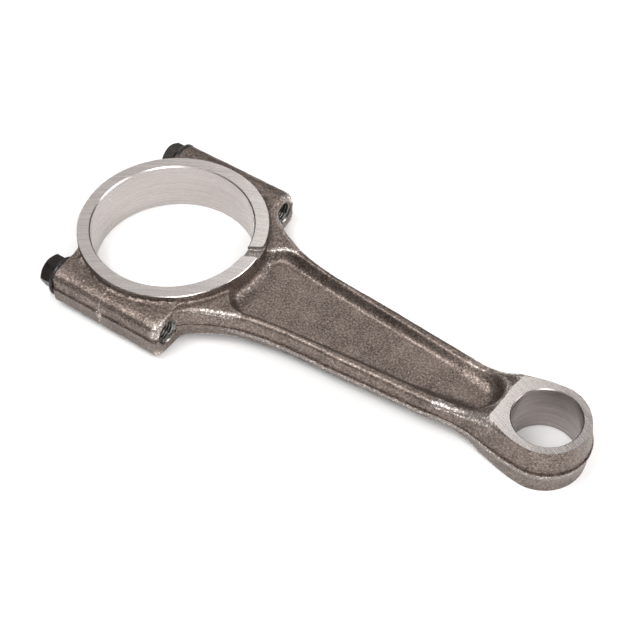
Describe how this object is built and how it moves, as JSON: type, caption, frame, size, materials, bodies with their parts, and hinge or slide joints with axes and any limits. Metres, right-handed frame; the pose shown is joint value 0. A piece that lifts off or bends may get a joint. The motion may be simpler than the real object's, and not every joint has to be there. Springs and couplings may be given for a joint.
{
  "type": "connecting rod",
  "caption": "Forged connecting rod with a bolted, fracture-split bearing cap, an I-section beam and plain crankpin and piston-pin bores.",
  "frame": {"origin": "on the lower ground faces, midway between the crown of the bearing cap and the tip of the small end, on the rod's centre line", "axes": "+X from the big end to the small end, +Y across the rod, +Z along both bores, up through the thrust faces"},
  "size_m": [0.1906, 0.079, 0.0185],
  "materials": {
    "forged_rod": "as-forged, shot-blasted brown-grey skin; ground thrust faces and satin bored holes in bright steel",
    "forged_cap": "as-forged, shot-blasted brown-grey skin; ground thrust faces, spot-faced bolt seats and satin bore in bright steel",
    "bolt_steel": "black oxide, rolled thread"
  },
  "bodies": {
    "rod": {"rod_body": "forged_rod"},
    "cap": {"bearing_cap": "forged_cap"},
    "bolt_left": {"cap_bolt_left": "bolt_steel"},
    "bolt_right": {"cap_bolt_right": "bolt_steel"}
  },
  "joints": [
    {"name": "cap_off", "type": "slide", "parent": "rod", "child": "cap", "axis": [-1, 0, 0], "range_m": [0, 0.06]},
    {"name": "bolt_left_out", "type": "slide", "parent": "cap", "child": "bolt_left", "axis": [-1, 0, 0], "range_m": [0, 0.045]},
    {"name": "bolt_right_out", "type": "slide", "parent": "cap", "child": "bolt_right", "axis": [-1, 0, 0], "range_m": [0, 0.045]}
  ]
}
